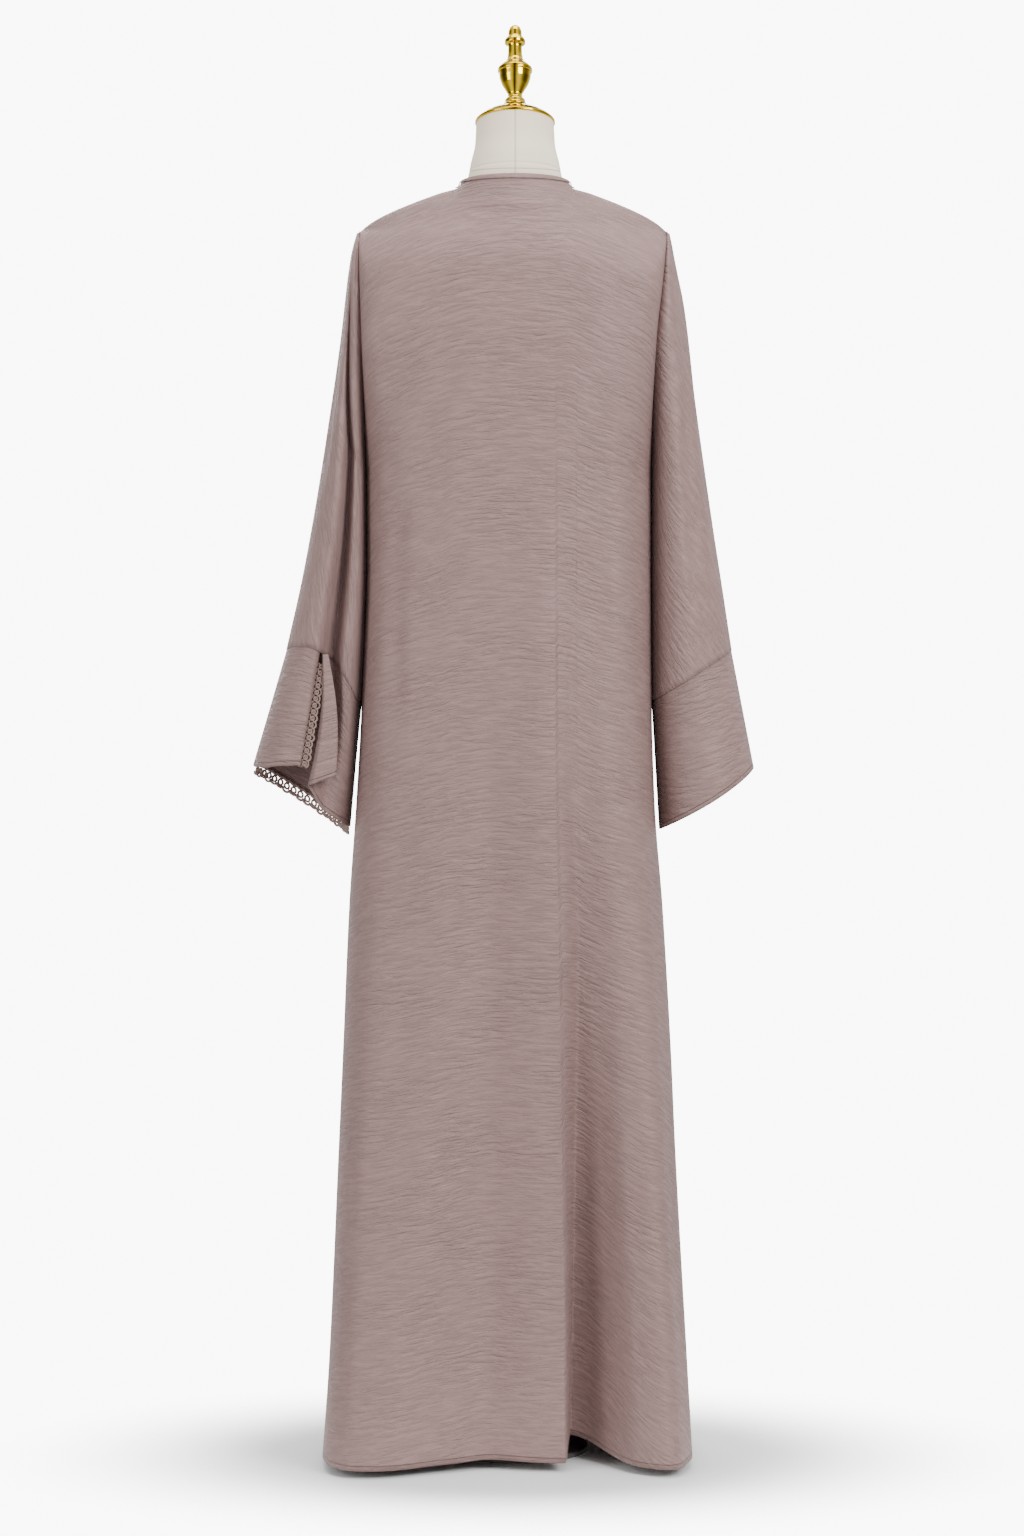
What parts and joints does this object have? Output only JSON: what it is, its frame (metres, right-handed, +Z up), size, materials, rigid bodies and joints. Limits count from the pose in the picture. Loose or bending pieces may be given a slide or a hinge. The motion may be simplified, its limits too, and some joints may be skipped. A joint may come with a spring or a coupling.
{
  "type": "abaya cloak on a dress form",
  "caption": "Long open-front abaya cloak with wide cuffed sleeves and lace at one cuff, hung on a limbless dress form with a brass finial.",
  "frame": {"origin": "on the underside of the base plate, directly under the pole's axis", "axes": "+Z up the pole to the finial, -Y towards the wearer's back, +Y the open front, -X the wearer's left arm"},
  "size_m": [0.5633, 0.3013, 1.6073],
  "materials": {
    "crepe": "finely crinkled satin-backed crepe, soft sheen",
    "lace": "guipure lace, matt",
    "form_cover": "cream woven cover, matt",
    "brass": "polished",
    "pole_steel": "satin",
    "base_enamel": "pale satin enamel"
  },
  "bodies": {
    "root": {"back": "crepe", "front_left": "crepe", "front_right": "crepe", "sleeve_left": "crepe", "sleeve_right": "crepe", "cuff_left": "crepe", "cuff_right": "crepe", "neck_binding": "crepe", "lace_slit": "lace", "lace_hem": "lace", "form_torso": "form_cover", "neck_cap": "brass", "finial": "brass", "pole": "pole_steel", "pole_socket": "pole_steel", "base": "base_enamel"}
  },
  "joints": []
}
